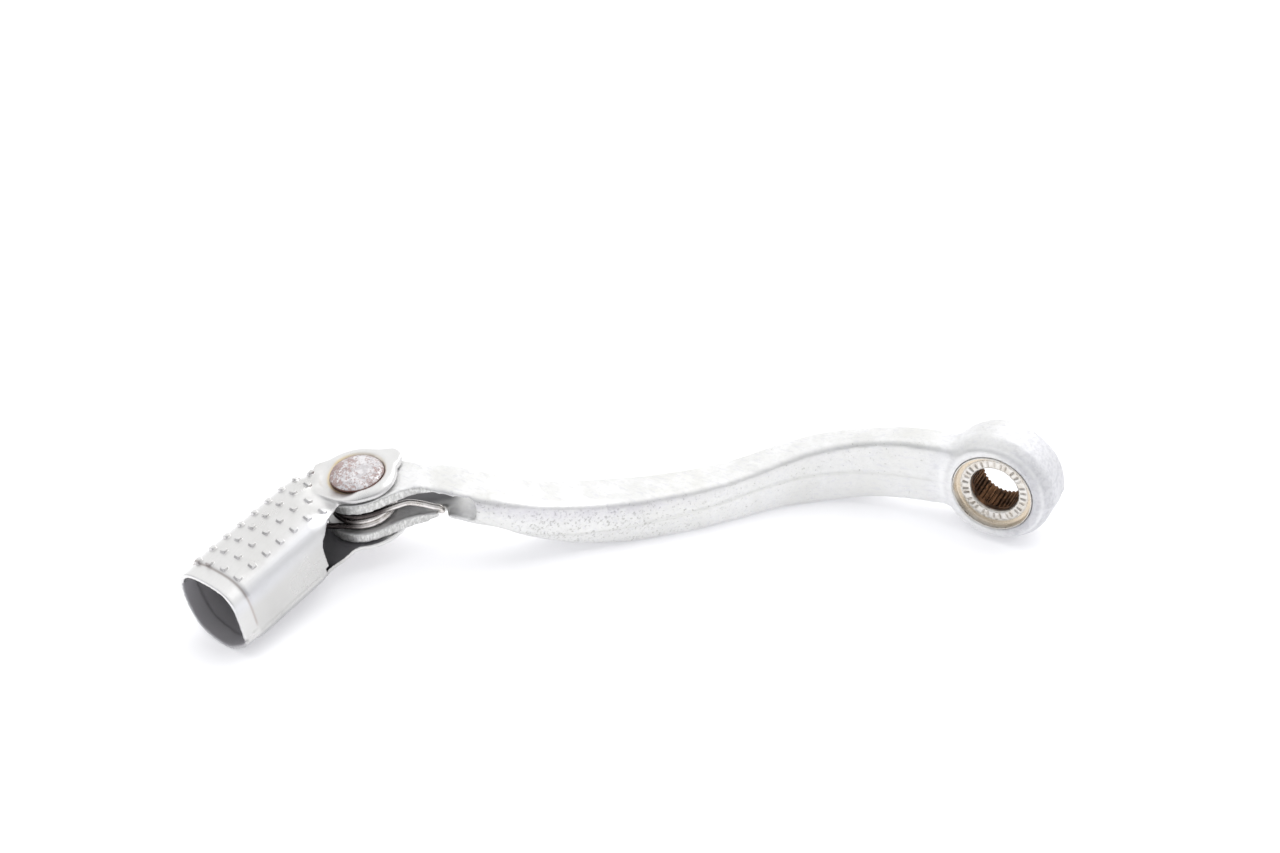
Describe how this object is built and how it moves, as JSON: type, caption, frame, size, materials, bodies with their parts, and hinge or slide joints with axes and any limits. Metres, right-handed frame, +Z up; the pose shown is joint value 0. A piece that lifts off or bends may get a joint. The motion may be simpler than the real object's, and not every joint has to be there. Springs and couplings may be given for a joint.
{
  "type": "motorcycle gear shift lever",
  "caption": "Forged aluminium shift lever with a splined steel bush at the shaft end and a spring-returned, folding pressed-steel toe piece riveted in its fork.",
  "frame": {"origin": "middle of the plan bounding box, on the surface the lever lies on", "axes": "Y along the shift shaft with -Y outboard (the side the bolt goes in), +X from the toe towards the shaft, +Z up as the lever lies on its boss, belly and toe corner"},
  "size_m": [0.1394, 0.1108, 0.024],
  "materials": {
    "forged_aluminium": "speckled, worn",
    "bush_steel": "turned, tarnished",
    "satin_stainless": "satin",
    "rusty_rivet_steel": "mottled with rust",
    "sleeve_steel": "plain",
    "spring_wire": "drawn wire"
  },
  "bodies": {
    "lever": {"arm": "forged_aluminium", "spline_bush": "bush_steel", "return_spring": "spring_wire"},
    "toe": {"toe_piece": "satin_stainless", "pivot_rivet": "rusty_rivet_steel", "pivot_sleeve": "sleeve_steel"}
  },
  "joints": [
    {"name": "toe_fold", "type": "hinge", "parent": "lever", "child": "toe", "pos_m": [-0.0531, -0.0155, 0.019], "axis": [-0.09, -0.1, 0.9909], "range_deg": [0, 85], "stiffness_Nm_per_rad": 0.1, "springref_deg": -57.3, "deforming": ["return_spring"]}
  ]
}
